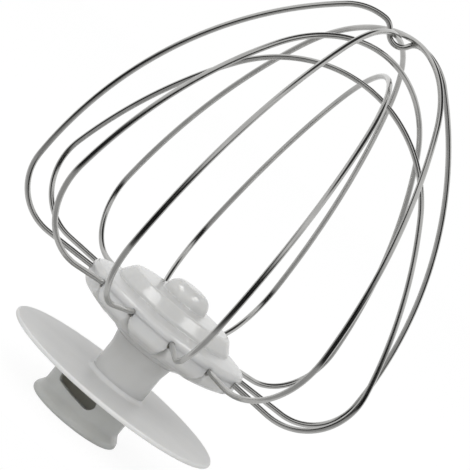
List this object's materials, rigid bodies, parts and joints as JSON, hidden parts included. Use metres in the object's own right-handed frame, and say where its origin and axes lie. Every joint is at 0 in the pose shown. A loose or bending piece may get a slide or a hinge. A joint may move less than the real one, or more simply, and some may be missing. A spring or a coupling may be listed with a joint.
{
  "type": "stand mixer wire whip",
  "caption": "Egg-shaped wire whip of a stand mixer: six steel loops in a pale moulded hub with a domed knob, over a thin splash disc and a short slotted drive coupling.",
  "frame": {"origin": "centre of the coupling's open end, on the coupling's axis", "axes": "+Z points from the coupling to the tip of the wires and +Y to the side away from the latch slot"},
  "size_m": [0.1237, 0.1238, 0.1567],
  "materials": {
    "hub_plastic": "translucent off-white, smooth and glossy",
    "coupling_plastic": "slightly darker grey-white, smooth",
    "wire_steel": "bright drawn wire"
  },
  "bodies": {
    "root": {"coupling": "coupling_plastic", "splash_disc": "hub_plastic", "hub_body": "hub_plastic", "hub_cap": "hub_plastic", "outer_loop_1": "wire_steel", "outer_loop_2": "wire_steel", "outer_loop_3": "wire_steel", "inner_loop_1": "wire_steel", "inner_loop_2": "wire_steel", "inner_loop_3": "wire_steel"}
  },
  "joints": []
}
